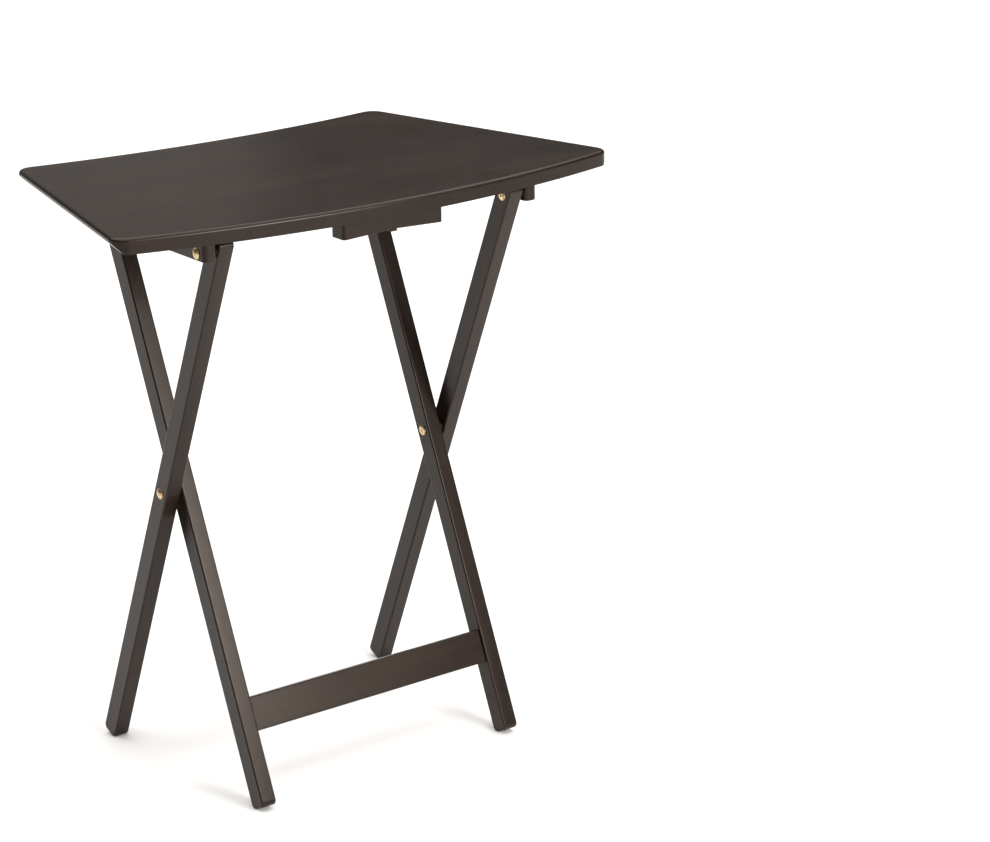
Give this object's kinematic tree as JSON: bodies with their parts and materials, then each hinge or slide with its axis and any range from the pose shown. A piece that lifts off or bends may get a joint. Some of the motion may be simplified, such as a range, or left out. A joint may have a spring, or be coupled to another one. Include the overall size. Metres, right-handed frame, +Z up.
{
  "type": "folding tray table",
  "caption": "Folding tray table: a flared board with bowed near and far edges on crossed leg frames that hinge and close, in dark stained wood.",
  "frame": {"origin": "centre of the bounding box in X and Y, on the floor", "axes": "+Z up; -Y towards the wide, bowed-out near edge of the tray; +X to the right along that edge"},
  "size_m": [0.629, 0.3862, 0.66],
  "materials": {
    "stained_wood": "satin dark brown lacquer",
    "dowel_wood": "bare wood",
    "brass_hardware": "brushed",
    "steel_hardware": "plated"
  },
  "bodies": {
    "outer_frame": {"outer_leg_left": "stained_wood", "outer_leg_right": "stained_wood", "cross_bolt_left": "brass_hardware", "cross_bolt_right": "brass_hardware", "cross_nut_left": "brass_hardware", "cross_nut_right": "brass_hardware", "cross_washer_left": "steel_hardware", "cross_washer_right": "steel_hardware", "top_bolt_left": "brass_hardware", "top_bolt_right": "brass_hardware", "top_nut_left": "brass_hardware", "top_nut_right": "brass_hardware", "top_washer_left": "steel_hardware", "top_washer_right": "steel_hardware"},
    "tray": {"tray_board": "stained_wood", "rail_left": "stained_wood", "rail_right": "stained_wood", "rail_screws_left": "steel_hardware", "rail_screws_right": "steel_hardware", "front_block": "stained_wood", "front_block_screws": "steel_hardware", "catch_block": "stained_wood", "catch_block_screws": "steel_hardware"},
    "inner_frame": {"inner_leg_left": "stained_wood", "inner_leg_right": "stained_wood", "lower_stretcher": "stained_wood", "upper_bar": "stained_wood", "stretcher_dowels": "dowel_wood", "upper_bar_dowels": "dowel_wood"}
  },
  "joints": [
    {"name": "top_swing", "type": "hinge", "parent": "outer_frame", "child": "tray", "pos_m": [0, -0.13446, 0.62638], "axis": [1, 0, 0], "range_deg": [0, 113.1]},
    {"name": "leg_fold", "type": "hinge", "parent": "outer_frame", "child": "inner_frame", "pos_m": [0, -0.00813, 0.33019], "axis": [1, 0, 0], "range_deg": [0, 46.2]}
  ],
  "couplings": [
    {"joint": "leg_fold", "follows": "top_swing", "ratio": 0.4084}
  ]
}
